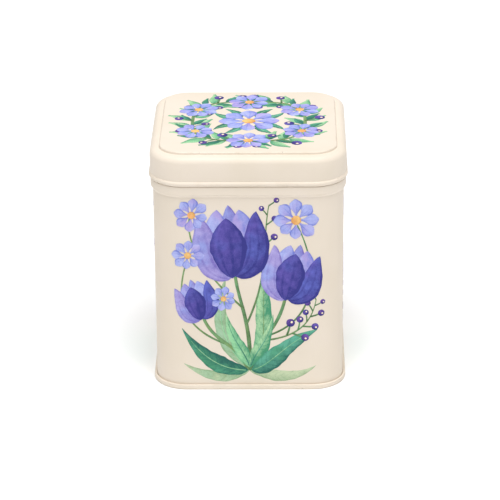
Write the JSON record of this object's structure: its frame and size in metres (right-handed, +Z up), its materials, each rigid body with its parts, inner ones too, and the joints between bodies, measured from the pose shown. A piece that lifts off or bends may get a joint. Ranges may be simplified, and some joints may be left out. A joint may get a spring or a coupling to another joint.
{
  "type": "spice tin",
  "caption": "Small square spice tin with rounded upright corners, a seamed base and a slip-on lid with a raised panel, a rounded shoulder and a curled hem that rests on a ledge round the wall.",
  "frame": {"origin": "centre of the base, at the level of the table the tin stands on", "axes": "+Z up through the lid; the front is -Y and the wall's own seam is in the middle of the back, +Y; +X to the right seen from the front"},
  "size_m": [0.066, 0.066, 0.085],
  "materials": {
    "painted_wall": "satin cream enamel on tinplate",
    "painted_base": "satin cream enamel on tinplate",
    "painted_lid": "satin cream enamel on tinplate"
  },
  "bodies": {
    "tin": {"body_wall": "painted_wall", "base_panel": "painted_base"},
    "lid": {"lid": "painted_lid"}
  },
  "joints": [
    {"name": "lid_lift", "type": "slide", "parent": "tin", "child": "lid", "axis": [0, 0, 1], "range_m": [0, 0.045]}
  ]
}
